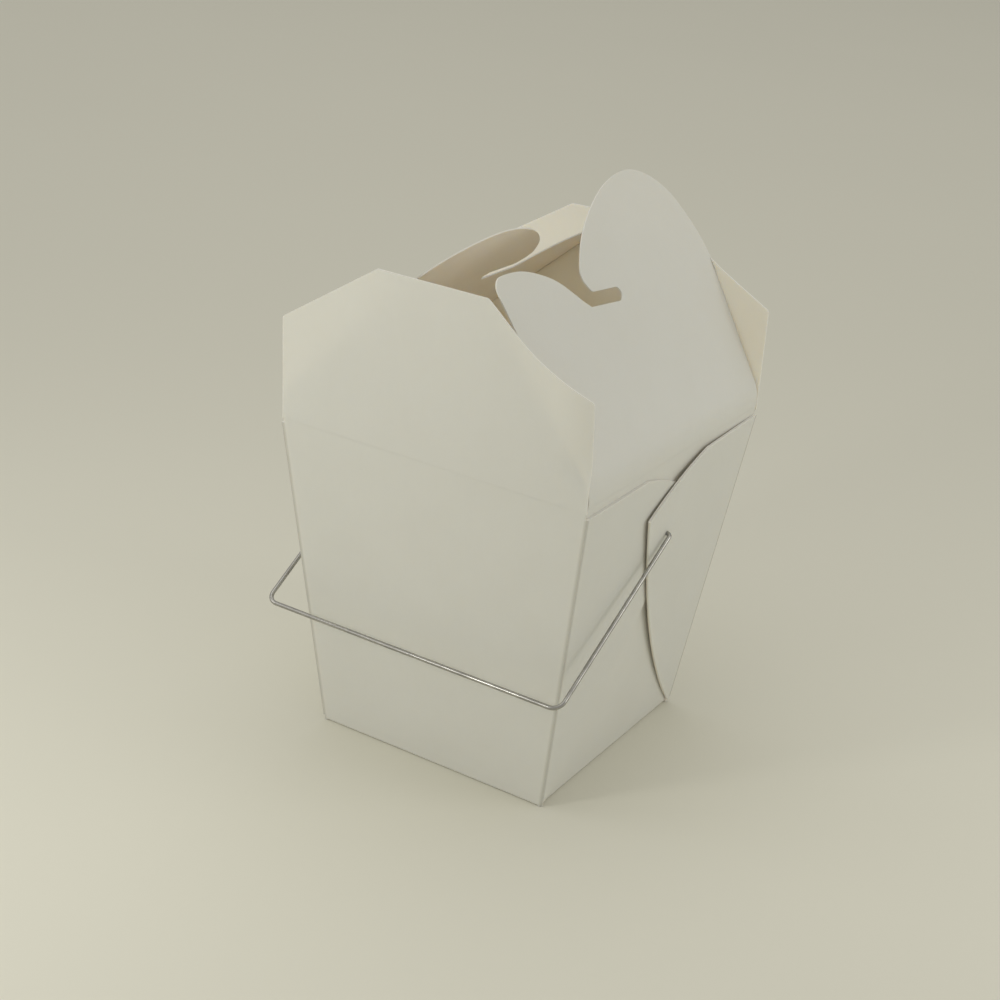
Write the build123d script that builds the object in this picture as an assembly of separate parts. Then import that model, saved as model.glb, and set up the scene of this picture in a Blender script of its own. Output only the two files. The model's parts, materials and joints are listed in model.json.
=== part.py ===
from build123d import *
import os
from math import atan, cos, degrees, hypot, radians, sin, sqrt, tan

# A folding takeout pail: one creased sheet of white board and one wire bail
# X runs across the broad front, Y goes to the back, Z is up
# The origin is the middle of the underside

# Board
board_thickness = 0.42
layer_gap = 0.06
crease_gap = 0.2
base_fold_radius = 0.8

# Pail, outer sizes with the folded ears on the end walls
base_width = 84.0
base_depth = 86.0
top_width = 108.6
top_depth = 112.0
pail_height = 108.0
lock_crease_rise = 1.5

# Ears, the corner webs folded in half along the outside of each end wall
ear_radius_drop = 0.1
ear_top_drop = 2.0
ear_fold_margin = 1.2
ear_fold_bow = 6.0
ear_lap = 9.1
under_ear_opening = 0.1
over_ear_opening = 1.65

# Front and back flaps, tucked in first when the pail is closed
broad_flap_clearance = 0.6
broad_flap_side_inset = 0.7
broad_flap_side_height = 33.0
broad_flap_height = 55.8
broad_flap_clip_width = 34.3
broad_clip_hollow = 2.3
board_corner_radius = 1.5
front_flap_lean = 4.4
back_flap_lean = 1.0

# Lock flaps, hooked into each other when the pail is closed
lock_flap_clearance = 0.8
lock_lobe_rise = 33.94
lock_tongue_rise = 15.24
lock_tongue_radius = 5.0
lock_bend_radius = 13.0
lock_bend_angle = 18.0
slit_end_offset = 1.4
slit_end_radius = 1.45
slit_mouth_offset = 17.0
slit_mouth_width = 4.2
lock_right_lean = 30.0
lock_left_lean = 43.0
tongue_edge_shares = ((-0.670, 0.362), (-0.455, 0.169))
nose_shares = ((-0.290, 0.110), (-0.315, 0.192))
lobe_edge_shares = (
    (-0.305, 0.298),
    (-0.125, 0.668),
    (0.072, 0.882),
    (0.290, 1.0),
    (0.543, 0.912),
    (0.761, 0.637),
    (0.897, 0.226),
)
lock_back_edge_share = (0.966, 0.883)

# Wire bail
wire_diameter = 1.4
wire_clearance = 0.06
bail_drop = 25.6
bail_reach = 70.2
bail_droop = 30.6
bail_run_inset = 0.7
bail_side_clearance = 0.35
bail_corner_radius = 3.5
bail_end_radius = 1.25
hook_length = 5.0
hook_clearance = 0.35

# Sizes that follow from the ones above
ear_thickness = 2 * board_thickness + layer_gap
end_base_width = base_width - 2 * ear_thickness
end_top_width = top_width - 2 * ear_thickness
end_flare = degrees(atan((top_width - base_width) / 2 / pail_height))
end_slant_share = 1 / cos(radians(end_flare))
corner_run = (top_depth - base_depth) / 2
corner_lean = degrees(atan(corner_run / (pail_height * end_slant_share)))
broad_flare = degrees(atan(corner_run / pail_height))
bail_height = pail_height - bail_drop
ear_angle = corner_lean + degrees(atan((base_depth / 2 + ear_lap) / bail_height / end_slant_share))
corner_length = hypot(pail_height, corner_run, (top_width - base_width) / 2)
ear_radius = corner_length - ear_radius_drop
ear_reach = ear_radius * sin(radians(ear_angle))
broad_flap_half_width = top_width / 2 - broad_flap_clearance
lock_flap_half_width = top_depth / 2 - lock_flap_clearance
lock_axis_height = pail_height + lock_crease_rise
bead_radius = board_thickness / 2
broad_wall_top = pail_height - bead_radius - crease_gap
end_wall_top = lock_axis_height - bead_radius - crease_gap
cut_overrun = pail_height
wire_radius = wire_diameter / 2


def end_half_width(height):
    """Half the distance between the outer faces of the end walls."""
    rise_share = height / pail_height
    return end_base_width / 2 + (end_top_width - end_base_width) / 2 * rise_share


def broad_half_depth(height):
    """Half the distance between the outer faces of the broad walls."""
    rise_share = height / pail_height
    return base_depth / 2 + (top_depth - base_depth) / 2 * rise_share


end_wall_skin = board_thickness / cos(radians(end_flare))
broad_wall_skin = board_thickness / cos(radians(broad_flare))
lock_axis_x = end_half_width(lock_axis_height) - end_wall_skin / 2
broad_axis_y = broad_half_depth(pail_height) - broad_wall_skin / 2
lock_lobe_height = lock_axis_x + lock_lobe_rise
lock_tongue_height = lock_axis_x + lock_tongue_rise


# Trapezoid about the middle line, from its low edge to its high edge
def tapered_face(low, high, low_width, high_width):
    corners = [
        (-low_width / 2, low),
        (low_width / 2, low),
        (high_width / 2, high),
        (-high_width / 2, high),
    ]
    return make_face(Polyline(*corners, close=True))


# Block with four flat sloping sides, where a front and a side outline cross
def tapered_block(low, high, low_width, low_depth, high_width, high_depth):
    front = Plane.XZ * tapered_face(low, high, low_width, high_width)
    side = Plane.YZ * tapered_face(low, high, low_depth, high_depth)
    return extrude(front, amount=high_depth, both=True) & extrude(side, amount=high_width, both=True)


# Outer face of the right end wall: local x is Y, local y runs up the slant
def end_wall_plane():
    flare = radians(end_flare)
    return Plane(
        origin=(end_base_width / 2, 0, 0),
        x_dir=(0, 1, 0),
        z_dir=(cos(flare), 0, -sin(flare)),
    )


# Middle fold of an ear from its point up, bowed away from the corner crease
def ear_fold(radius, point):
    fold = radians(90 - corner_lean + ear_angle)
    tip = point + Vector(radius * cos(fold), radius * sin(fold))
    bow = (point + tip) / 2 + Vector(-ear_fold_bow * sin(fold), ear_fold_bow * cos(fold))
    return ThreePointArc(point, bow, tip)


# Pie slice of an ear, point down, from the corner crease to the middle fold
def ear_slice(radius, margin):
    half_angle = radians(ear_angle / 2)
    middle = radians(90 - corner_lean + ear_angle / 2)
    step_up = margin / sin(half_angle)
    point = Vector(step_up * cos(middle), step_up * sin(middle))
    first = middle - half_angle
    start = point + Vector(radius * cos(first), radius * sin(first))
    crown = point + Vector(radius * cos(middle), radius * sin(middle))
    fold = ear_fold(radius, point)
    return make_face([Line(point, start), ThreePointArc(start, crown, fold @ 1), fold])


# One ear of the right end wall, at its back corner, opened off the wall
def back_ear(opening):
    top_slant = (pail_height - ear_top_drop) * end_slant_share
    plate = extrude(ear_slice(ear_radius, 0), amount=ear_thickness)
    fold = ear_fold(ear_radius, Vector(0, 0, 0))
    bead = sweep(Plane(fold ^ 0) * Circle(ear_thickness / 2), path=fold)
    bead = Pos(0, 0, ear_thickness / 2) * bead
    gap = extrude(ear_slice(ear_radius, ear_fold_margin), amount=layer_gap)
    gap = Pos(0, 0, board_thickness) * gap
    foot = base_fold_radius + ear_thickness
    keep = Pos(0, (foot + top_slant) / 2, 0) * Box(2 * cut_overrun, top_slant - foot, 2 * cut_overrun)
    ear = (plate + bead - gap) & keep
    crease = Axis((0, 0, 0), (sin(radians(corner_lean)), cos(radians(corner_lean)), 0))
    ear = ear.rotate(crease, opening)
    corner = end_wall_plane() * Pos(base_depth / 2, 0, 0)
    return corner * ear


# Rounded outer corner where a broad wall turns onto its ear
def corner_turn():
    foot = Vector(end_base_width / 2, base_depth / 2 - ear_thickness, 0)
    head = Vector(end_top_width / 2, top_depth / 2 - ear_thickness, pail_height)
    rise = head - foot
    turn = Plane(origin=foot - rise, z_dir=rise)
    rod = turn * Cylinder(ear_thickness, 3 * rise.length, align=(Align.CENTER, Align.CENTER, Align.MIN))
    ear_top = pail_height - ear_top_drop
    return rod & (Pos(0, 0, ear_top / 2) * Box(2 * top_width, 2 * top_depth, ear_top))


# Floor, four walls and the four folded ears
def pail_body():
    outer = tapered_block(
        0,
        end_wall_top,
        end_base_width,
        base_depth,
        2 * end_half_width(end_wall_top),
        2 * broad_half_depth(end_wall_top),
    )
    outer = fillet(outer.edges().group_by(Axis.Z)[0], base_fold_radius)
    inner = tapered_block(
        board_thickness,
        2 * end_wall_top,
        2 * (end_half_width(board_thickness) - end_wall_skin),
        2 * (broad_half_depth(board_thickness) - broad_wall_skin),
        2 * (end_half_width(2 * end_wall_top) - end_wall_skin),
        2 * (broad_half_depth(2 * end_wall_top) - broad_wall_skin),
    )
    over = back_ear(over_ear_opening)
    under = back_ear(under_ear_opening).mirror(Plane.XZ)
    back_turn = corner_turn()
    front_turn = corner_turn().mirror(Plane.XZ)
    right_end = over + under + back_turn + front_turn
    left_end = right_end.rotate(Axis.Z, 180)
    body = outer + right_end + left_end
    body = body - inner
    crown_height = end_wall_top - broad_wall_top
    crown = Pos(0, 0, broad_wall_top + crown_height) * Box(2 * top_width, 2 * top_depth, 2 * crown_height)
    crown = crown - Box(2 * top_width, 2 * lock_flap_half_width, 4 * pail_height)
    body = body - crown
    hole = Cylinder(wire_radius + wire_clearance, 2 * top_width)
    body = body - Pos(0, 0, bail_height) * Rot(0, 90, 0) * hole
    return body


# Outline of a front or back flap, its crease along local x
def broad_flap_outline():
    foot = broad_flap_half_width
    shoulder = broad_flap_half_width - broad_flap_side_inset
    top = shoulder - broad_flap_clip_width
    clip_rise = broad_flap_height - broad_flap_side_height
    clip_length = hypot(broad_flap_clip_width, clip_rise)
    hollow_x = (shoulder + top) / 2 - broad_clip_hollow * clip_rise / clip_length
    hollow_y = (broad_flap_side_height + broad_flap_height) / 2
    hollow_y = hollow_y - broad_clip_hollow * broad_flap_clip_width / clip_length
    edges = [
        Line((-foot, 0), (foot, 0)),
        Line((foot, 0), (shoulder, broad_flap_side_height)),
        ThreePointArc((shoulder, broad_flap_side_height), (hollow_x, hollow_y), (top, broad_flap_height)),
        Line((top, broad_flap_height), (-top, broad_flap_height)),
        Line((-top, broad_flap_height), (-shoulder, broad_flap_side_height)),
        Line((-shoulder, broad_flap_side_height), (-foot, 0)),
    ]
    outline = make_face(edges)
    upper = [corner for corner in outline.vertices() if corner.Y > broad_flap_side_height / 2]
    return fillet(upper, board_corner_radius)


# Front or back flap, standing on its crease
def broad_flap():
    plate = extrude(broad_flap_outline(), amount=board_thickness / 2, both=True)
    bead = Rot(0, 90, 0) * Cylinder(bead_radius, 2 * broad_flap_half_width)
    return plate + bead


def front_flap():
    lean = radians(front_flap_lean)
    crease = Plane(
        origin=(0, -broad_axis_y, pail_height),
        x_dir=(1, 0, 0),
        z_dir=(0, -cos(lean), -sin(lean)),
    )
    return crease * broad_flap()


def back_flap():
    lean = radians(back_flap_lean)
    crease = Plane(
        origin=(0, broad_axis_y, pail_height),
        x_dir=(-1, 0, 0),
        z_dir=(0, cos(lean), -sin(lean)),
    )
    return crease * broad_flap()


# Outline of a lock flap: a tongue at the front, a slit to the middle and a hooked lobe
def lock_flap_outline():
    wide = lock_flap_half_width
    tongue_shoulder = (-wide + lock_tongue_radius, lock_tongue_height)
    tongue_side = (-wide, lock_tongue_height - lock_tongue_radius)
    turn_share = 1 - sqrt(0.5)
    tongue_turn = (
        -wide + lock_tongue_radius * turn_share,
        lock_tongue_height - lock_tongue_radius * turn_share,
    )
    slit_low = lock_axis_x - slit_end_radius
    slit_high = lock_axis_x + slit_end_radius
    slit_mouth_low = (-slit_mouth_offset, lock_axis_x - slit_end_radius)
    slit_mouth_high = (-slit_mouth_offset + slit_mouth_width, slit_mouth_low[1] + slit_mouth_width)
    slit_end = (-slit_end_offset + slit_end_radius, lock_axis_x)

    def above_slit(shares):
        return [(wide * along, lock_axis_x + lock_lobe_rise * up) for along, up in shares]

    back_edge = (wide * lock_back_edge_share[0], lock_axis_x * lock_back_edge_share[1])
    edges = [
        Line((wide, 0), (-wide, 0)),
        Line((-wide, 0), tongue_side),
        ThreePointArc(tongue_side, tongue_turn, tongue_shoulder),
        Spline([tongue_shoulder] + above_slit(tongue_edge_shares) + [slit_mouth_low], tangents=[(1, 0), (1, -1)]),
        Line(slit_mouth_low, (-slit_end_offset, slit_low)),
        ThreePointArc((-slit_end_offset, slit_low), slit_end, (-slit_end_offset, slit_high)),
        Line((-slit_end_offset, slit_high), slit_mouth_high),
        Spline([slit_mouth_high] + above_slit(nose_shares + lobe_edge_shares) + [back_edge]),
        Line(back_edge, (wide, 0)),
    ]
    return make_face(edges)


# Bent section of a lock flap, local x up the flap and local y outward
def lock_flap_section():
    turn = radians(lock_bend_angle)
    centre = (lock_bend_radius * sin(turn), -lock_bend_radius * cos(turn))
    inner = lock_bend_radius - bead_radius
    outer = lock_bend_radius + bead_radius
    half_turn = turn / 2

    def on_arc(radius, angle):
        return (centre[0] - radius * sin(angle), centre[1] + radius * cos(angle))

    rise = 2 * lock_lobe_height
    outer_end = on_arc(outer, 0)
    inner_end = on_arc(inner, 0)
    foot = (-bead_radius * cos(turn), -bead_radius * sin(turn))
    edges = [
        ThreePointArc(on_arc(outer, turn), on_arc(outer, half_turn), outer_end),
        Line(outer_end, (rise, outer_end[1])),
        Line((rise, outer_end[1]), (rise, inner_end[1])),
        Line((rise, inner_end[1]), inner_end),
        ThreePointArc(inner_end, on_arc(inner, half_turn), on_arc(inner, turn)),
        ThreePointArc(on_arc(inner, turn), foot, on_arc(outer, turn)),
    ]
    return make_face(edges)


# Lock flap: the bent sheet, trimmed to its outline
def lock_flap():
    sheet = extrude(Plane.YZ * lock_flap_section(), amount=lock_flap_half_width, both=True)
    outline = extrude(lock_flap_outline(), amount=lock_bend_radius, both=True)
    foot = Box(2 * lock_flap_half_width, 2 * bead_radius, lock_bend_radius)
    return sheet & (outline + foot)


def right_lock_flap():
    lean = radians(lock_right_lean)
    crease = Plane(
        origin=(lock_axis_x, 0, lock_axis_height),
        x_dir=(0, 1, 0),
        z_dir=(cos(lean), 0, sin(lean)),
    )
    return crease * lock_flap()


def left_lock_flap():
    lean = radians(lock_left_lean)
    crease = Plane(
        origin=(-lock_axis_x, 0, lock_axis_height),
        x_dir=(0, -1, 0),
        z_dir=(-cos(lean), 0, sin(lean)),
    )
    return crease * lock_flap()


# Wire bail: hooks inside, ends through the ears, straight arms and one long run
def wire_handle():
    ear_lift = ear_reach * sin(radians(over_ear_opening))
    arm_x = end_half_width(bail_height) + ear_lift + ear_thickness + wire_radius + bail_side_clearance
    half_run = arm_x - bail_run_inset
    hook_sweep = (hook_length + wire_radius) * tan(radians(end_flare))
    hook_x = end_half_width(bail_height) - end_wall_skin - wire_radius - hook_sweep - hook_clearance
    points = [
        (hook_x, hook_length),
        (hook_x, 0),
        (arm_x, 0),
        (half_run, bail_reach),
        (-half_run, bail_reach),
        (-arm_x, 0),
        (-hook_x, 0),
        (-hook_x, hook_length),
    ]
    radii = [bail_end_radius] * 2 + [bail_corner_radius] * 2 + [bail_end_radius] * 2
    path = FilletPolyline(*points, radius=radii)
    section = Plane(path ^ 0) * Circle(wire_radius)
    wire = sweep(section, path=path)
    droop = radians(bail_droop)
    hang = Plane(
        origin=(0, 0, bail_height),
        x_dir=(1, 0, 0),
        z_dir=(0, sin(droop), -cos(droop)),
    )
    return hang * wire


os.makedirs("parts", exist_ok=True)
export_step(pail_body(), "parts/pail_body.step")
export_step(front_flap(), "parts/front_flap.step")
export_step(back_flap(), "parts/back_flap.step")
export_step(right_lock_flap(), "parts/right_lock_flap.step")
export_step(left_lock_flap(), "parts/left_lock_flap.step")
export_step(wire_handle(), "parts/wire_handle.step")
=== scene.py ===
"""A folding takeout pail of white board with a wire bail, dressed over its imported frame."""
import bpy
import bmesh
import json
import math
from bpy.props import FloatProperty, FloatVectorProperty, PointerProperty
from mathutils import Matrix, Vector


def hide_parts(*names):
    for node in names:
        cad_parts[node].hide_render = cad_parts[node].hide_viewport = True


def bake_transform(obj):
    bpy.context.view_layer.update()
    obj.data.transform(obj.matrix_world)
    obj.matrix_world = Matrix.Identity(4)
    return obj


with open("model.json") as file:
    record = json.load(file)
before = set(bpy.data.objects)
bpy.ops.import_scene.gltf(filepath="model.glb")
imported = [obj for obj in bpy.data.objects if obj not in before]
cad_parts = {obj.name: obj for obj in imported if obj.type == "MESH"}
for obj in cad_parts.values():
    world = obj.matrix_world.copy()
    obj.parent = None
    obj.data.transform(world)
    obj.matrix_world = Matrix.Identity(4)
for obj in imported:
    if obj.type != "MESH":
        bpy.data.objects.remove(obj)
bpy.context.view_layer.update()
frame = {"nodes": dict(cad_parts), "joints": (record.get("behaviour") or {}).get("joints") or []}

bl_info = {
    "name": "Takeout Pail",
    "version": (1, 0, 0),
    "blender": (4, 5, 0),
    "location": "3D View > Sidebar > Pail",
    "description": "Builds the board flaps, creases, bail and stage of a folding takeout pail",
    "category": "Add Mesh",
}


def length(name, description, default):
    return FloatProperty(name=name, description=description, default=default, unit="LENGTH", precision=5)


def angle(name, description, degrees):
    return FloatProperty(name=name, description=description, default=math.radians(degrees), subtype="ANGLE")


def colour(name, description, default):
    limits = {"subtype": "COLOR", "size": 3, "min": 0, "max": 1}
    return FloatVectorProperty(name=name, description=description, default=default, **limits)


def share(name, description, default):
    limits = {"subtype": "FACTOR", "min": 0, "max": 1}
    return FloatProperty(name=name, description=description, default=default, **limits)


def amount(name, description, default):
    return FloatProperty(name=name, description=description, default=default, min=0)


# Settings

class PailBoardSettings(bpy.types.PropertyGroup):
    """Sizes and colours of the creased sheet of board."""

    thickness: length("Thickness", "Thickness of the board", 0.00042)
    grid: length("Grid", "Distance between the sheet's grid lines", 0.0024)
    outer_colour: colour("Outside", "Colour of the coated outside", (0.775, 0.765, 0.700))
    outer_shade: colour("Outside shade", "Darker tone of the coated outside", (0.745, 0.733, 0.665))
    # The inside's warmer tones are partly the board's uncoated cream and partly painted warm bounce light
    # of the shaded interior
    inner_colour: colour("Inside", "Colour of the inside", (0.83, 0.762, 0.67))
    inner_shade: colour("Inside shade", "Darker tone of the inside", (0.79, 0.713, 0.615))
    # The cut edges are lighter than the coated face: their own warm raw tone, lifted as a painted highlight
    # along the rims
    edge_colour_and_highlight: colour("Cut edge", "Colour of the cut edges", (0.86, 0.835, 0.765))
    roughness: share("Roughness", "Roughness of the coated outside", 0.55)
    outer_glow: share("Outside glow", "Share of light that spreads in the board under its outside", 0.2)
    inner_glow: share("Inside glow", "Share of light that comes through a flap to its inside", 1.0)
    glow_depth: length("Glow depth", "How far light spreads in the board", 0.0030)


class PailFlapSettings(bpy.types.PropertyGroup):
    """Sizes of the front, back and lock flaps."""

    broad_half: length("Broad half width", "Half the width of a front or back flap at its crease", 0.0537)
    broad_inset: length("Broad side inset", "How far the sides of a broad flap lean in", 0.0007)
    broad_side: length("Broad side height", "Height of the sides of a broad flap", 0.033)
    broad_clip: length("Clip width", "Width of a clipped corner", 0.0343)
    corner_radius: length("Corner radius", "Radius of a broad flap's corners", 0.0015)
    front_height: length("Front height", "Height of the front flap", 0.0558)
    front_hollow: length("Front hollow", "How far the front flap's clipped corner is hollow", 0.0023)
    front_lean: angle("Front lean", "Outward lean of the front flap", 4.4)
    front_curl: length("Front curl", "How far the front flap's right edge curls inward", 0.0018)
    back_height: length("Back height", "Height of the back flap", 0.0544)
    back_hollow: length("Back hollow", "How far the back flap's clipped corner is hollow", 0.0008)
    back_lean: angle("Back lean", "Outward lean of the back flap", 1.0)
    back_bow: length("Back bow", "How far the back flap's far top corner bows inward", 0.0095)
    lock_half: length("Lock half width", "Half the width of a lock flap", 0.0552)
    lock_bow: length("Bow radius", "Radius that a lock flap bows over with above its crease", 0.013)
    right_lean: angle("Right lean", "Inward lean of the right lock flap's middle", 32.25)
    right_twist: angle("Right twist", "Change of the right lock flap's lean over half its width", -2.25)
    left_lean: angle("Left lean", "Inward lean of the left lock flap's middle", 46.3)
    left_twist: angle("Left twist", "Change of the left lock flap's lean over half its width", -3.1)
    slit_level: length("Slit level", "Height of the slit's inner end above the crease", 0.0518)
    slit_end: length("Slit end", "How far the slit stops short of the middle", 0.0004)
    slit_radius: length("Slit radius", "Radius of the slit's inner end", 0.0022)


class PailBailSettings(bpy.types.PropertyGroup):
    """Finish of the wire bail."""

    colour: colour("Wire", "Colour of the bright steel wire", (0.44, 0.43, 0.405))
    roughness: share("Roughness", "Roughness of the wire", 0.26)


class PailStageSettings(bpy.types.PropertyGroup):
    """Camera, lights and floor."""

    azimuth: angle("Azimuth", "Camera's turn round the pail from the front", 30.19)
    elevation: angle("Elevation", "Camera's height above the horizon", 23.67)
    roll: angle("Roll", "Camera's roll", 4.95)
    distance: length("Distance", "Camera's distance", 0.61324)
    side_step: length("Side step", "Camera's step to the side", -0.00486)
    up_step: length("Up step", "Camera's step up", 0.01603)
    aim_height: length("Aim height", "Height that the camera is set from", 0.06)
    lens: amount("Lens", "Focal length in millimetres", 67.745)
    floor_colour: colour("Floor", "Colour of the floor", (0.735, 0.722, 0.628))
    world_colour: colour("World", "Colour of the soft room light", (1.0, 0.985, 0.93))
    far_colour: colour("Far colour", "Colour seen beyond the floor", (0.72, 0.70, 0.60))
    world_level: amount("World level", "Strength of the soft room light", 0.51)
    top_power: amount("Top power", "Watts of the large soft light overhead", 6.5)
    left_power: amount("Left power", "Watts of the soft light on the left", 0.16)
    side_power: amount("Side power", "Watts of the small soft light on the right", 0.24)
    front_power: amount("Front power", "Watts of the low soft light in front", 0.20)


# Sizes of the pail under the flaps

PAIL_HEIGHT = 0.108
BASE_HALF_WIDTH = 0.0420
BASE_HALF_DEPTH = 0.0430
END_RUN = 0.0123
BROAD_RUN = 0.0130
END_LEAN = math.atan(END_RUN / PAIL_HEIGHT)
BROAD_LEAN = math.atan(BROAD_RUN / PAIL_HEIGHT)


# Node materials

def new_material(name):
    """A node material with a bare Principled shader."""
    material = bpy.data.materials.new(name)
    material.use_nodes = True
    tree = material.node_tree
    tree.nodes.clear()
    out = tree.nodes.new("ShaderNodeOutputMaterial")
    shader = tree.nodes.new("ShaderNodeBsdfPrincipled")
    tree.links.new(shader.outputs["BSDF"], out.inputs["Surface"])
    return material, tree, shader


def add_noise(tree, coordinates, scale, detail, roughness):
    noise = tree.nodes.new("ShaderNodeTexNoise")
    noise.inputs["Scale"].default_value = scale
    noise.inputs["Detail"].default_value = detail
    noise.inputs["Roughness"].default_value = roughness
    tree.links.new(coordinates, noise.inputs["Vector"])
    return noise.outputs["Fac"]


def add_range(tree, value, low, high, new_low, new_high):
    node = tree.nodes.new("ShaderNodeMapRange")
    node.inputs["From Min"].default_value = low
    node.inputs["From Max"].default_value = high
    node.inputs["To Min"].default_value = new_low
    node.inputs["To Max"].default_value = new_high
    tree.links.new(value, node.inputs["Value"])
    return node.outputs["Result"]


def add_math(tree, operation, first, second, third=0.0):
    """A maths node; second is a socket or a plain number, third a plain number."""
    node = tree.nodes.new("ShaderNodeMath")
    node.operation = operation
    tree.links.new(first, node.inputs[0])
    node.inputs[2].default_value = third
    if isinstance(second, (int, float)):
        node.inputs[1].default_value = second
    else:
        tree.links.new(second, node.inputs[1])
    return node.outputs["Value"]


def add_mix(tree, factor, first, second):
    """A colour mix; each end is a socket or three plain numbers."""
    mix = tree.nodes.new("ShaderNodeMix")
    mix.data_type = "RGBA"
    for end, tone in (("A", first), ("B", second)):
        if isinstance(tone, tuple):
            mix.inputs[end].default_value = (*tone, 1)
        else:
            tree.links.new(tone, mix.inputs[end])
    tree.links.new(factor, mix.inputs["Factor"])
    return mix.outputs["Result"]


def add_bump(tree, height, strength, distance, normal=None):
    bump = tree.nodes.new("ShaderNodeBump")
    bump.inputs["Strength"].default_value = strength
    bump.inputs["Distance"].default_value = distance
    tree.links.new(height, bump.inputs["Height"])
    if normal is not None:
        tree.links.new(normal, bump.inputs["Normal"])
    return bump.outputs["Normal"]


def shaded(tone, part):
    """The colour darkened to a part of itself."""
    return tuple(part * level for level in tone)


# Board: noises give scale, detail and roughness, bumps give strength and distance

CLOUD = (38, 3, 0.55)
CLOUD_BAND = (0.3, 0.7)
CLOUD_SHARE = 0.55
GRAIN = (620, 4, 0.65)
GRAIN_STRETCH = (1.0, 1.0, 0.35)
GRAIN_SHARE = 0.45
FIBRE = (1900, 3, 0.6)
WAVE = (16, 1, 0.4)
WAVE_BUMP = (0.30, 0.0012)
GRAIN_BUMP = (0.10, 0.0002)
FIBRE_BUMP = (0.12, 0.00008)
BOARD_POLISH = 0.05
BOARD_DULLING = 0.06
BOARD_IOR = 1.45
BOARD_SPECULAR = 0.35
GLOW_TINT = (1.0, 0.80, 0.58)
INSIDE_DULLING = 0.08
EDGE_SHADE = 0.94
EDGE_ROUGHNESS = 0.85


def board_tone(tree, mottle, colours):
    """The board's cloudy colour between its two tones."""
    return add_mix(tree, mottle, tuple(colours[0]), tuple(colours[1]))


def board_material(name, colours, roughness, glow, depth):
    """Smooth folding board: cloudy tone, fine fibres, a faint waviness, and light that spreads in it.

    Gives its node tree, its shader and the factor of its mottle."""
    _, tree, shader = new_material(name)
    coordinates = tree.nodes.new("ShaderNodeTexCoord").outputs["Object"]
    cloud = add_noise(tree, coordinates, *CLOUD)
    fibre = add_noise(tree, coordinates, *FIBRE)
    stretch = tree.nodes.new("ShaderNodeMapping")
    stretch.inputs["Scale"].default_value = GRAIN_STRETCH
    tree.links.new(coordinates, stretch.inputs["Vector"])
    grain = add_noise(tree, stretch.outputs["Vector"], *GRAIN)
    fine = add_math(tree, "MULTIPLY", grain, GRAIN_SHARE)
    mottle = add_math(tree, "ADD", fine, add_range(tree, cloud, *CLOUD_BAND, 0.0, CLOUD_SHARE))
    tree.links.new(board_tone(tree, mottle, colours), shader.inputs["Base Color"])
    gloss = add_range(tree, cloud, *CLOUD_BAND, roughness - BOARD_POLISH, roughness + BOARD_DULLING)
    tree.links.new(gloss, shader.inputs["Roughness"])
    normal = add_bump(tree, add_noise(tree, coordinates, *WAVE), *WAVE_BUMP)
    normal = add_bump(tree, grain, *GRAIN_BUMP, normal)
    normal = add_bump(tree, fibre, *FIBRE_BUMP, normal)
    tree.links.new(normal, shader.inputs["Normal"])
    shader.inputs["IOR"].default_value = BOARD_IOR
    shader.inputs["Specular IOR Level"].default_value = BOARD_SPECULAR
    shader.inputs["Subsurface Weight"].default_value = glow
    shader.inputs["Subsurface Radius"].default_value = GLOW_TINT
    shader.inputs["Subsurface Scale"].default_value = depth
    return tree, shader, mottle


# Where the body's finish changes, and where painted shade darkens its corner creases

# How dark the painted crease shade is, and how far from the corner line it starts and ends
CREASE_SHADE = 0.70
CREASE_FROM = -0.0013
CREASE_TO = -0.0002
FACING_IN = -0.002
FACING_UP = 0.7
FLOOR_LEVEL = 0.004
RIM_LEVEL = 0.09


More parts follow.
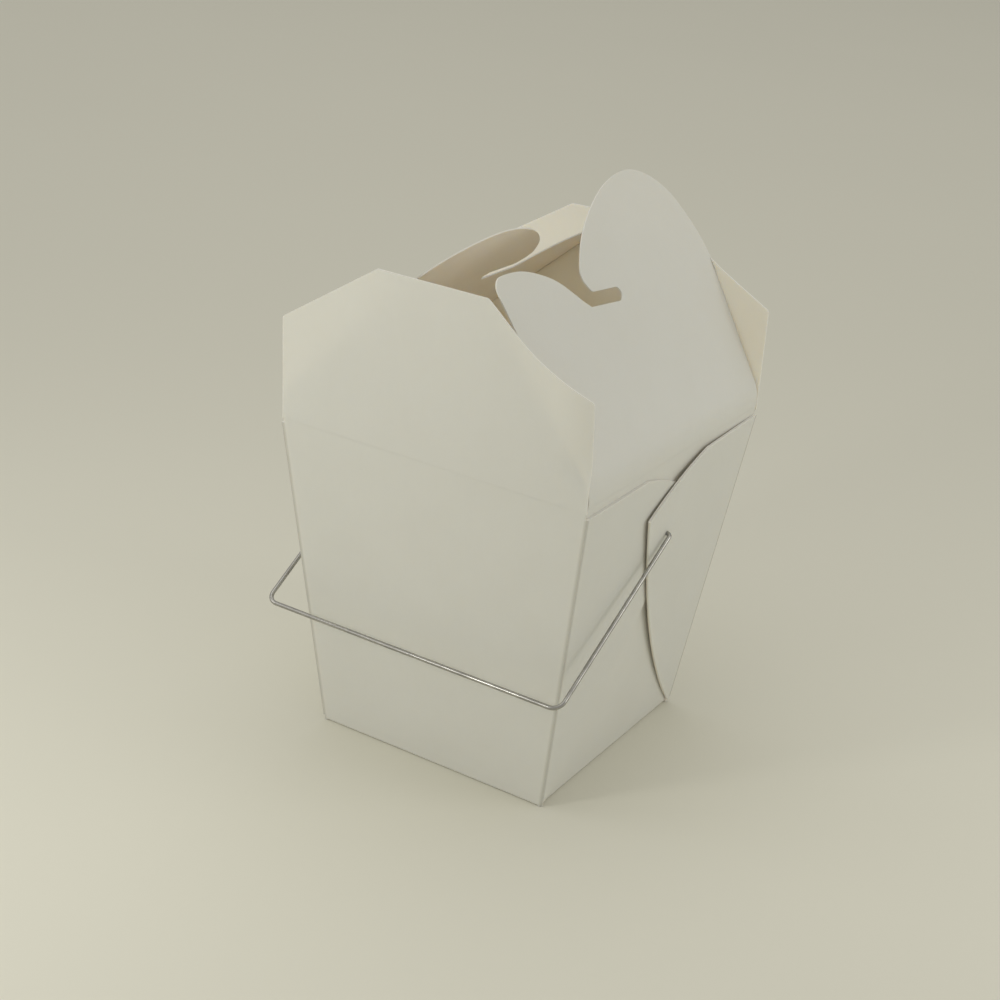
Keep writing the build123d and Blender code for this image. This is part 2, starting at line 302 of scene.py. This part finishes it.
def shell_material(outer, inner, edge, roughness, glow, depth):
    """The body's board: coated outside; warmer inside and on the floor, partly painted warm bounce light;
    lighter on its upper cut edges, partly a painted highlight; and a darker band along the corner creases,
    partly the pressed fold's own line and partly painted shade.
    """
    tree, shader, mottle = board_material("board_shell", outer, roughness, glow, depth)
    place = tree.nodes.new("ShaderNodeTexCoord")
    flat = tree.nodes.new("ShaderNodeVectorMath")
    flat.operation = "MULTIPLY"
    flat.inputs[1].default_value = (1, 1, 0)
    tree.links.new(place.outputs["Object"], flat.inputs[0])
    facing = tree.nodes.new("ShaderNodeVectorMath")
    facing.operation = "DOT_PRODUCT"
    tree.links.new(flat.outputs["Vector"], facing.inputs[0])
    tree.links.new(place.outputs["Normal"], facing.inputs[1])
    normal_parts = tree.nodes.new("ShaderNodeSeparateXYZ")
    tree.links.new(place.outputs["Normal"], normal_parts.inputs["Vector"])
    spot_parts = tree.nodes.new("ShaderNodeSeparateXYZ")
    tree.links.new(place.outputs["Object"], spot_parts.inputs["Vector"])
    # Mask along the corner creases for the darker band: partly the pressed fold's own line, partly painted
    # shade where the fold turns from the light
    near = []
    for axis, foot, run in (("X", BASE_HALF_WIDTH, END_RUN), ("Y", BASE_HALF_DEPTH, BROAD_RUN)):
        side = add_math(tree, "ABSOLUTE", spot_parts.outputs[axis], 0.0)
        wall = add_math(tree, "MULTIPLY_ADD", spot_parts.outputs["Z"], run / PAIL_HEIGHT, foot)
        beyond = add_math(tree, "SUBTRACT", side, wall)
        near.append(add_range(tree, beyond, CREASE_FROM, CREASE_TO, 0.0, 1.0))
    crease = add_math(tree, "MULTIPLY", *near)
    inward = add_math(tree, "LESS_THAN", facing.outputs["Value"], FACING_IN)
    upward = add_math(tree, "GREATER_THAN", normal_parts.outputs["Z"], FACING_UP)
    low = add_math(tree, "LESS_THAN", spot_parts.outputs["Z"], FLOOR_LEVEL)
    high = add_math(tree, "GREATER_THAN", spot_parts.outputs["Z"], RIM_LEVEL)
    inside = add_math(tree, "MAXIMUM", inward, add_math(tree, "MULTIPLY", upward, low))
    rim = add_math(tree, "MULTIPLY", upward, high)
    # Painted shade along the corner creases, over the pressed fold's own darker line
    pressed_and_shaded = add_mix(tree, crease, board_tone(tree, mottle, outer), shaded(outer[1], CREASE_SHADE))
    # Inside walls and floor take the warmer inside tones: partly the uncoated board, partly painted warm
    # bounce light
    tone = add_mix(tree, inside, pressed_and_shaded, board_tone(tree, mottle, inner))
    # The body's upper cut edges take the lighter edge tone, partly a painted highlight along the rims
    tree.links.new(add_mix(tree, rim, tone, edge), shader.inputs["Base Color"])


def board_materials():
    """The finishes of the board, made once: outside, inside and cut edge of a flap, and the body's."""
    board = bpy.context.scene.pail_board
    names = ("board_outside", "board_inside", "board_cut_edge", "board_shell")
    if names[0] not in bpy.data.materials:
        outer = (board.outer_colour, board.outer_shade)
        inner = (board.inner_colour, board.inner_shade)
        edge = tuple(board.edge_colour_and_highlight)
        depth = board.glow_depth
        board_material(names[0], outer, board.roughness, board.outer_glow, depth)
        # The flaps' inside tones carry the same painted warm bounce light
        board_material(names[1], inner, board.roughness + INSIDE_DULLING, board.inner_glow, depth)
        # The flaps' cut edges carry the same painted rim highlight
        board_material(names[2], (edge, shaded(edge, EDGE_SHADE)), EDGE_ROUGHNESS, board.outer_glow, depth)
        shell_material(outer, inner, edge, board.roughness, board.outer_glow, depth)
    return [bpy.data.materials[name] for name in names]


# Wire

TARNISH = (160, 4, 0.6)
TARNISH_TONE_BAND = (0.35, 0.7)
TARNISH_GLOSS_BAND = (0.3, 0.7)
TARNISH_SHADE = 0.72
WIRE_POLISH = 0.06
WIRE_DULLING = 0.10
SCRATCH = (2600, 2, 0.5)
SCRATCH_BUMP = (0.08, 0.00005)


def wire_material(settings):
    """Bright drawn steel wire with fine scratches and a little tarnish."""
    material, tree, shader = new_material("bail_steel")
    coordinates = tree.nodes.new("ShaderNodeTexCoord").outputs["Object"]
    tarnish = add_noise(tree, coordinates, *TARNISH)
    dark = shaded(settings.colour, TARNISH_SHADE)
    patches = add_range(tree, tarnish, *TARNISH_TONE_BAND, 0, 1)
    tree.links.new(add_mix(tree, patches, tuple(settings.colour), dark), shader.inputs["Base Color"])
    rough = settings.roughness
    gloss = add_range(tree, tarnish, *TARNISH_GLOSS_BAND, rough - WIRE_POLISH, rough + WIRE_DULLING)
    tree.links.new(gloss, shader.inputs["Roughness"])
    scratch = add_noise(tree, coordinates, *SCRATCH)
    tree.links.new(add_bump(tree, scratch, *SCRATCH_BUMP), shader.inputs["Normal"])
    shader.inputs["Metallic"].default_value = 1.0
    return material


# Outline building

def curve_through(points, steps=8, first_way=None, last_way=None):
    """Points of a smooth curve through the given points, with optional end directions."""
    spots = [Vector(point) for point in points]
    ways = []
    for index in range(len(spots)):
        before = spots[max(index - 1, 0)]
        after = spots[min(index + 1, len(spots) - 1)]
        ways.append((after - before).normalized())
    if first_way is not None:
        ways[0] = Vector(first_way).normalized()
    if last_way is not None:
        ways[-1] = Vector(last_way).normalized()
    found = []
    for index in range(len(spots) - 1):
        start, end = spots[index], spots[index + 1]
        span = (end - start).length
        for step in range(steps):
            t = step / steps
            a = 2 * t ** 3 - 3 * t ** 2 + 1
            b = t ** 3 - 2 * t ** 2 + t
            c = -2 * t ** 3 + 3 * t ** 2
            d = t ** 3 - t ** 2
            found.append(a * start + b * span * ways[index] + c * end + d * span * ways[index + 1])
    found.append(spots[-1])
    return [tuple(spot) for spot in found]


def turn_points(centre, radius, first, last, steps):
    """Points on an arc, angles in degrees."""
    found = []
    for step in range(steps + 1):
        turned = math.radians(first + (last - first) * step / steps)
        found.append((centre[0] + radius * math.cos(turned), centre[1] + radius * math.sin(turned)))
    return found


def round_corner(before, corner, after, radius, steps=4):
    """Points of a fillet in place of a corner."""
    spot = Vector(corner)
    first = (Vector(before) - spot).normalized()
    second = (Vector(after) - spot).normalized()
    half = first.angle(second) / 2
    reach = radius / math.tan(half)
    centre = spot + (first + second).normalized() * radius / math.sin(half)
    start = spot + first * reach - centre
    end = spot + second * reach - centre
    found = []
    for step in range(steps + 1):
        found.append(tuple(centre + start.lerp(end, step / steps).normalized() * radius))
    return found


# Sheet building

CUT_TOLERANCE = 1e-7
MERGE_DISTANCE = 2e-6
SHARP_ANGLE = 50


def cut_panel(outline, step):
    """The outline as a flat mesh cut into a grid."""
    mesh = bmesh.new()
    corners = [mesh.verts.new((x, y, 0)) for x, y in outline]
    mesh.faces.new(corners)
    for axis, way in enumerate((Vector((1, 0, 0)), Vector((0, 1, 0)))):
        low = min(point[axis] for point in outline)
        high = max(point[axis] for point in outline)
        count = max(2, round((high - low) / step))
        for index in range(1, count):
            place = way * (low + (high - low) * index / count)
            geometry = list(mesh.verts) + list(mesh.edges) + list(mesh.faces)
            bmesh.ops.bisect_plane(mesh, geom=geometry, dist=CUT_TOLERANCE, plane_co=place, plane_no=way)
    bmesh.ops.remove_doubles(mesh, verts=list(mesh.verts), dist=MERGE_DISTANCE)
    return mesh


def sheet_object(name, flat, place, thickness):
    """A sheet of board: place(x, y, w) gives the point at w off the sheet's middle, outside positive."""
    mesh = bpy.data.meshes.new(name)
    flat.verts.index_update()
    count = len(flat.verts)
    half = thickness / 2
    spots = [(vert.co.x, vert.co.y) for vert in flat.verts]
    points = [place(x, y, half) for x, y in spots] + [place(x, y, -half) for x, y in spots]
    faces, finish = [], []
    for face in flat.faces:
        ring = [vert.index for vert in face.verts]
        faces.append(ring)
        finish.append(0)
        faces.append([index + count for index in reversed(ring)])
        finish.append(1)
    for edge in flat.edges:
        if len(edge.link_loops) == 1:
            loop = edge.link_loops[0]
            first = loop.vert.index
            second = loop.link_loop_next.vert.index
            faces.append([second, first, first + count, second + count])
            finish.append(2)
    flat.free()
    mesh.from_pydata(points, [], faces)
    mesh.validate()
    for polygon, index in zip(mesh.polygons, finish):
        polygon.material_index = index
    for material in board_materials()[:3]:
        mesh.materials.append(material)
    mesh.shade_smooth()
    mesh.set_sharp_from_angle(angle=math.radians(SHARP_ANGLE))
    made = bpy.data.objects.new(name, mesh)
    bpy.context.scene.collection.objects.link(made)
    return made


def out_and_up(across, out_way, x, spot):
    """The point at x along the crease and (out, up) across it."""
    return tuple(across * x + out_way * spot[0] + Vector((0, 0, 1)) * spot[1])


def ease(value, low, high):
    """Smooth step from 0 at low to 1 at high."""
    part = min(1.0, max(0.0, (value - low) / (high - low)))
    return part * part * (3 - 2 * part)


# Creases, measured up the sheet from the hinge line

SHEET_FOOT = -0.00045
CREASE_HEAD = 0.0012
CREASE_ROWS = 40
CREASE_BEAD = 0.0002
CREASE_BEAD_WIDTH = 0.0005


def creased_section(foot, flap_lean):
    """Section of a broad flap across its pressed crease: (out, up) and the outward normal by height.

    foot is the middle of the wall where the sheet starts, and leans are outward."""
    step = (CREASE_HEAD - SHEET_FOOT) / CREASE_ROWS
    middle = (SHEET_FOOT + CREASE_HEAD) / 2

    def lean_at(along):
        return BROAD_LEAN + (flap_lean - BROAD_LEAN) * ease(along, SHEET_FOOT, CREASE_HEAD)

    rows = [Vector(foot)]
    for index in range(CREASE_ROWS):
        lean = lean_at(SHEET_FOOT + (index + 0.5) * step)
        rows.append(rows[-1] + Vector((math.sin(lean), math.cos(lean))) * step)

    def at(along):
        lean = lean_at(along)
        way = Vector((math.sin(lean), math.cos(lean)))
        normal = Vector((way.y, -way.x))
        if along >= CREASE_HEAD:
            return rows[-1] + way * (along - CREASE_HEAD), normal
        part = max(0.0, (along - SHEET_FOOT) / step)
        index = min(CREASE_ROWS - 1, int(part))
        raised = CREASE_BEAD * math.exp(-((along - middle) / CREASE_BEAD_WIDTH) ** 2)
        return rows[index].lerp(rows[index + 1], part - index) + normal * raised, normal

    return at


def bowed_place(crease, lean, bow, along):
    """(out, up) and the outward normal on a lock flap that bows from its wall's line to its inward lean."""
    if along <= 0:
        way = Vector((math.sin(END_LEAN), math.cos(END_LEAN)))
        return Vector(crease) + way * along, Vector((way.y, -way.x))
    turned = min(along / bow, END_LEAN + lean)
    now = END_LEAN - turned
    out = bow * (math.cos(now) - math.cos(END_LEAN))
    up = bow * (math.sin(END_LEAN) - math.sin(now))
    way = Vector((math.sin(now), math.cos(now)))
    beyond = along - bow * turned
    return Vector(crease) + Vector((out, up)) + way * beyond, Vector((way.y, -way.x))


# Flap outlines, x along the crease and y up the flap

TONGUE_CORNER = 0.0045
TONGUE_HALF = 0.0568
TONGUE_TOP = 0.0694
TONGUE_EDGE = ((-0.0434, 0.0686), (-0.0353, 0.0657), (-0.0282, 0.0614), (-0.0206, 0.0538))
TONGUE_END_WAY = (0.72, -0.69)
SLIT_MOUTH_LOW = (-0.0178, 0.0513)
SLIT_MOUTH_HIGH = (-0.0146, 0.0553)
SLIT_LOW_RADIUS = 0.0012
SLIT_HIGH_RADIUS = 0.0020
SLIT_SLOPE = 0.115
LOBE_NOSE = ((-0.0166, 0.0590), (-0.0163, 0.0620), (-0.0130, 0.0666), (-0.0085, 0.0714))
LOBE_TOP = ((0.0006, 0.0780), (0.0130, 0.0838), (0.0260, 0.0857), (0.0360, 0.0825), (0.0450, 0.0752))
LOBE_SIDE = ((0.0508, 0.0655), (0.0545, 0.0560))
LOBE_FOOT = (0.0557, 0.0460)


def broad_outline(settings, height, hollowed):
    """Front or back flap, its hollow clip on the right."""
    foot = settings.broad_half
    shoulder = foot - settings.broad_inset
    top = shoulder - settings.broad_clip
    side, radius = settings.broad_side, settings.corner_radius
    middle = Vector(((shoulder + top) / 2, (side + height) / 2))
    way = Vector((side - height, -settings.broad_clip)).normalized()
    hollow = tuple(middle + way * hollowed)
    right = round_corner((foot, 0), (shoulder, side), hollow, radius)
    crown = round_corner(hollow, (top, height), (0, height), radius)
    clip = curve_through([right[-1], hollow, crown[0]], 10)
    points = [(-foot, SHEET_FOOT), (foot, SHEET_FOOT), (foot, 0.0)] + right[:-1] + clip + crown[1:]
    points += round_corner((0, height), (-top, height), (-shoulder, side), radius)
    points += round_corner((-top, height), (-shoulder, side), (-foot, 0), radius)
    return points + [(-foot, 0.0)]


def lock_outline(settings):
    """Lock flap: tongue at negative x, slit to the middle, hooked lobe at positive x."""
    wide = settings.lock_half
    radius = settings.slit_radius
    centre = Vector((-settings.slit_end - radius, settings.slit_level))
    side = Vector((SLIT_SLOPE, 1.0)).normalized() * radius
    tilt = math.degrees(math.atan(SLIT_SLOPE))
    turn_centre = (-TONGUE_HALF + TONGUE_CORNER, TONGUE_TOP - TONGUE_CORNER)
    corner = turn_points(turn_centre, TONGUE_CORNER, 180, 90, 8)
    tongue = curve_through([corner[-1], *TONGUE_EDGE, SLIT_MOUTH_LOW], 8, (1, 0), TONGUE_END_WAY)
    slit_low = round_corner(tongue[-2], SLIT_MOUTH_LOW, tuple(centre - side), SLIT_LOW_RADIUS)
    end = turn_points(tuple(centre), radius, -90 - tilt, 90 - tilt, 10)
    slit_high = round_corner(tuple(centre + side), SLIT_MOUTH_HIGH, LOBE_NOSE[0], SLIT_HIGH_RADIUS)
    lobe = curve_through([*LOBE_NOSE, *LOBE_TOP, *LOBE_SIDE, LOBE_FOOT], 8, None, (0, -1))
    points = [(-wide, SHEET_FOOT), (-wide, 0.0)] + corner[:-1] + tongue[:-2]
    points += slit_low + end + slit_high + lobe
    return points + [(wide, 0.0), (wide, SHEET_FOOT)]


# The front flap's right edge curls over this width, from nothing to all of its curl between these heights

FRONT_CURL_WIDTH = 0.011
FRONT_CURL_FROM = 0.002
FRONT_CURL_TO = 0.016


# Operators

def joint_of(node):
    return next(joint for joint in frame["joints"] if joint["child"] == node)


class PAIL_OT_body(bpy.types.Operator):
    """Finish the pail's floor, walls and folded ears"""

    bl_idname = "pail.body"
    bl_label = "Pail body"

    def execute(self, context):
        node = frame["nodes"]["pail_body"]
        node.data.materials.clear()
        node.data.materials.append(board_materials()[3])
        return {"FINISHED"}


class PAIL_OT_broad_flaps(bpy.types.Operator):
    """Build the front and back flaps with their creases"""

    bl_idname = "pail.broad_flaps"
    bl_label = "Front and back flaps"

    def execute(self, context):
        flaps = context.scene.pail_flaps
        board = context.scene.pail_board
        half = flaps.broad_half
        front = broad_outline(flaps, flaps.front_height, flaps.front_hollow)
        back = broad_outline(flaps, flaps.back_height, flaps.back_hollow)
        back = [(-x, y) for x, y in reversed(back)]

        def front_bend(x, y):
            edge = max(0.0, (x - half + FRONT_CURL_WIDTH) / FRONT_CURL_WIDTH)
            return -flaps.front_curl * edge ** 2 * ease(y, FRONT_CURL_FROM, FRONT_CURL_TO)

        def back_bend(x, y):
            return -flaps.back_bow * (y / flaps.back_height) ** 2 * (0.5 + 0.5 * x / half)

        for name, node, outline, lean, turn, bend in (
            ("front_flap_sheet", "front_flap", front, flaps.front_lean, 1, front_bend),
            ("back_flap_sheet", "back_flap", back, flaps.back_lean, -1, back_bend),
        ):
            joint = joint_of(node)
            axis_y, axis_z = abs(joint["pos_m"][1]), joint["pos_m"][2]
            foot = (axis_y + SHEET_FOOT * math.sin(BROAD_LEAN), axis_z + SHEET_FOOT * math.cos(BROAD_LEAN))
            section = creased_section(foot, lean)
            across, out_way = Vector((turn, 0, 0)), Vector((0, -turn, 0))

            def place(x, y, w):
                spot, normal = section(y)
                return out_and_up(across, out_way, x, spot + normal * (w + bend(x, max(y, 0.0))))

            sheet = sheet_object(name, cut_panel(outline, board.grid), place, board.thickness)
            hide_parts(node)
            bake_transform(sheet)
        return {"FINISHED"}


class PAIL_OT_lock_flaps(bpy.types.Operator):
    """Build the two hooked lock flaps with their creases"""

    bl_idname = "pail.lock_flaps"
    bl_label = "Lock flaps"

    def execute(self, context):
        flaps = context.scene.pail_flaps
        board = context.scene.pail_board
        outline = lock_outline(flaps)
        for name, node, lean, twist, turn in (
            ("right_lock_sheet", "right_lock_flap", flaps.right_lean, flaps.right_twist, 1),
            ("left_lock_sheet", "left_lock_flap", flaps.left_lean, flaps.left_twist, -1),
        ):
            joint = joint_of(node)
            crease = (abs(joint["pos_m"][0]), joint["pos_m"][2])
            across, out_way = Vector((0, turn, 0)), Vector((turn, 0, 0))

            def place(x, y, w):
                now = lean + twist * x / flaps.lock_half
                spot, normal = bowed_place(crease, now, flaps.lock_bow, y)
                return out_and_up(across, out_way, x, spot + normal * w)

            sheet = sheet_object(name, cut_panel(outline, board.grid), place, board.thickness)
            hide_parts(node)
            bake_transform(sheet)
        return {"FINISHED"}


class PAIL_OT_bail(bpy.types.Operator):
    """Finish the wire bail"""

    bl_idname = "pail.bail"
    bl_label = "Wire bail"

    def execute(self, context):
        node = frame["nodes"]["wire_handle"]
        node.data.materials.clear()
        node.data.materials.append(wire_material(context.scene.pail_bail))
        node.data.shade_smooth()
        return {"FINISHED"}


# Stage: each light has a name, the setting of its power, a size, a place and an aim

LIGHTS = (
    ("top_light", "top_power", 1.6, (-0.3, 0.2, 2.0), (0, 0, 0.05)),
    ("front_light", "front_power", 0.055, (-0.124, -0.34, 0.225), (0, -0.05, 0.08)),
    ("left_light", "left_power", 0.2, (-0.30, -0.22, 0.22), (0, -0.03, 0.09)),
    ("side_light", "side_power", 0.2, (0.40, 0.10, 0.22), (0.04, 0, 0.08)),
)
SENSOR_WIDTH = 36
CLIP_NEAR = 0.01
CLIP_FAR = 50
FLOOR_HALF = 6
FLOOR_PARTS = 40
FLOOR_DROP = 0.0001
FLOOR_CLOUD = (3.0, 2, 0.5)
FLOOR_SHADE = 0.97
FLOOR_ROUGHNESS = 0.9
FLOOR_SPECULAR = 0.1


def camera_axes(settings):
    """The camera's right, up and back directions."""
    a, e, p = settings.azimuth, settings.elevation, settings.roll
    back = Vector((math.sin(a) * math.cos(e), -math.cos(a) * math.cos(e), math.sin(e)))
    right = Vector((math.cos(a), math.sin(a), 0))
    up = back.cross(right)
    return math.cos(p) * right + math.sin(p) * up, -math.sin(p) * right + math.cos(p) * up, back


def add_camera(settings):
    right, up, back = camera_axes(settings)
    data = bpy.data.cameras.new("pail_camera")
    data.sensor_fit = "HORIZONTAL"
    data.sensor_width = SENSOR_WIDTH
    data.lens = settings.lens
    data.clip_start, data.clip_end = CLIP_NEAR, CLIP_FAR
    camera = bpy.data.objects.new("pail_camera", data)
    spot = Vector((0, 0, settings.aim_height)) + back * settings.distance
    spot += right * settings.side_step + up * settings.up_step
    camera.matrix_world = Matrix((
        (right.x, up.x, back.x, spot.x),
        (right.y, up.y, back.y, spot.y),
        (right.z, up.z, back.z, spot.z),
        (0, 0, 0, 1),
    ))
    bpy.context.scene.collection.objects.link(camera)
    bpy.context.scene.camera = camera


def add_floor(settings):
    mesh = bmesh.new()
    bmesh.ops.create_grid(mesh, x_segments=FLOOR_PARTS, y_segments=FLOOR_PARTS, size=FLOOR_HALF)
    floor_mesh = bpy.data.meshes.new("floor")
    mesh.to_mesh(floor_mesh)
    mesh.free()
    floor = bpy.data.objects.new("floor", floor_mesh)
    floor.location.z = -FLOOR_DROP
    bpy.context.scene.collection.objects.link(floor)
    material, tree, shader = new_material("floor_paper")
    coordinates = tree.nodes.new("ShaderNodeTexCoord").outputs["Object"]
    tone = tuple(settings.floor_colour)
    cloud = add_noise(tree, coordinates, *FLOOR_CLOUD)
    tree.links.new(add_mix(tree, cloud, tone, shaded(tone, FLOOR_SHADE)), shader.inputs["Base Color"])
    shader.inputs["Roughness"].default_value = FLOOR_ROUGHNESS
    shader.inputs["Specular IOR Level"].default_value = FLOOR_SPECULAR
    floor_mesh.materials.append(material)


def add_room(settings):
    """A soft even room, which the camera sees in the far colour beyond the floor."""
    world = bpy.data.worlds.new("pail_room")
    world.use_nodes = True
    tree = world.node_tree
    background = next(node for node in tree.nodes if node.type == "BACKGROUND")
    background.inputs["Strength"].default_value = settings.world_level
    seen = tree.nodes.new("ShaderNodeLightPath").outputs["Is Camera Ray"]
    tone = add_mix(tree, seen, tuple(settings.world_colour), tuple(settings.far_colour))
    tree.links.new(tone, background.inputs["Color"])
    bpy.context.scene.world = world


def add_light(name, power, size, place, aim, tone):
    data = bpy.data.lights.new(name, "AREA")
    data.shape = "RECTANGLE"
    data.size = size
    data.size_y = size
    data.energy = power
    data.color = tone
    light = bpy.data.objects.new(name, data)
    light.location = place
    light.rotation_euler = (Vector(aim) - Vector(place)).to_track_quat("-Z", "Y").to_euler()
    bpy.context.scene.collection.objects.link(light)


class PAIL_OT_stage(bpy.types.Operator):
    """Set the floor, lights, world and camera"""

    bl_idname = "pail.stage"
    bl_label = "Stage"

    def execute(self, context):
        settings = context.scene.pail_stage
        context.scene.view_settings.view_transform = "Standard"
        add_camera(settings)
        add_floor(settings)
        add_room(settings)
        for name, power, size, place, aim in LIGHTS:
            add_light(name, getattr(settings, power), size, place, aim, tuple(settings.world_colour))
        return {"FINISHED"}


class PAIL_PT_panel(bpy.types.Panel):
    """Lists the pail's operators and settings"""

    bl_idname = "PAIL_PT_panel"
    bl_label = "Takeout Pail"
    bl_space_type = "VIEW_3D"
    bl_region_type = "UI"
    bl_category = "Pail"

    def draw(self, context):
        for step in steps:
            self.layout.operator(step.bl_idname)
        for name, _ in groups:
            settings = getattr(context.scene, name)
            box = self.layout.box()
            for setting in settings.__annotations__:
                box.prop(settings, setting)


steps = (PAIL_OT_body, PAIL_OT_broad_flaps, PAIL_OT_lock_flaps, PAIL_OT_bail, PAIL_OT_stage)
groups = (
    ("pail_board", PailBoardSettings),
    ("pail_flaps", PailFlapSettings),
    ("pail_bail", PailBailSettings),
    ("pail_stage", PailStageSettings),
)


def register():
    for name, group in groups:
        bpy.utils.register_class(group)
        setattr(bpy.types.Scene, name, PointerProperty(type=group))
    for step in steps:
        bpy.utils.register_class(step)
    bpy.utils.register_class(PAIL_PT_panel)


def unregister():
    bpy.utils.unregister_class(PAIL_PT_panel)
    for step in reversed(steps):
        bpy.utils.unregister_class(step)
    for name, group in reversed(groups):
        delattr(bpy.types.Scene, name)
        bpy.utils.unregister_class(group)


def main():
    register()
    bpy.ops.pail.body()
    bpy.ops.pail.broad_flaps()
    bpy.ops.pail.lock_flaps()
    bpy.ops.pail.bail()
    bpy.ops.pail.stage()


if __name__ == "__main__":
    main()
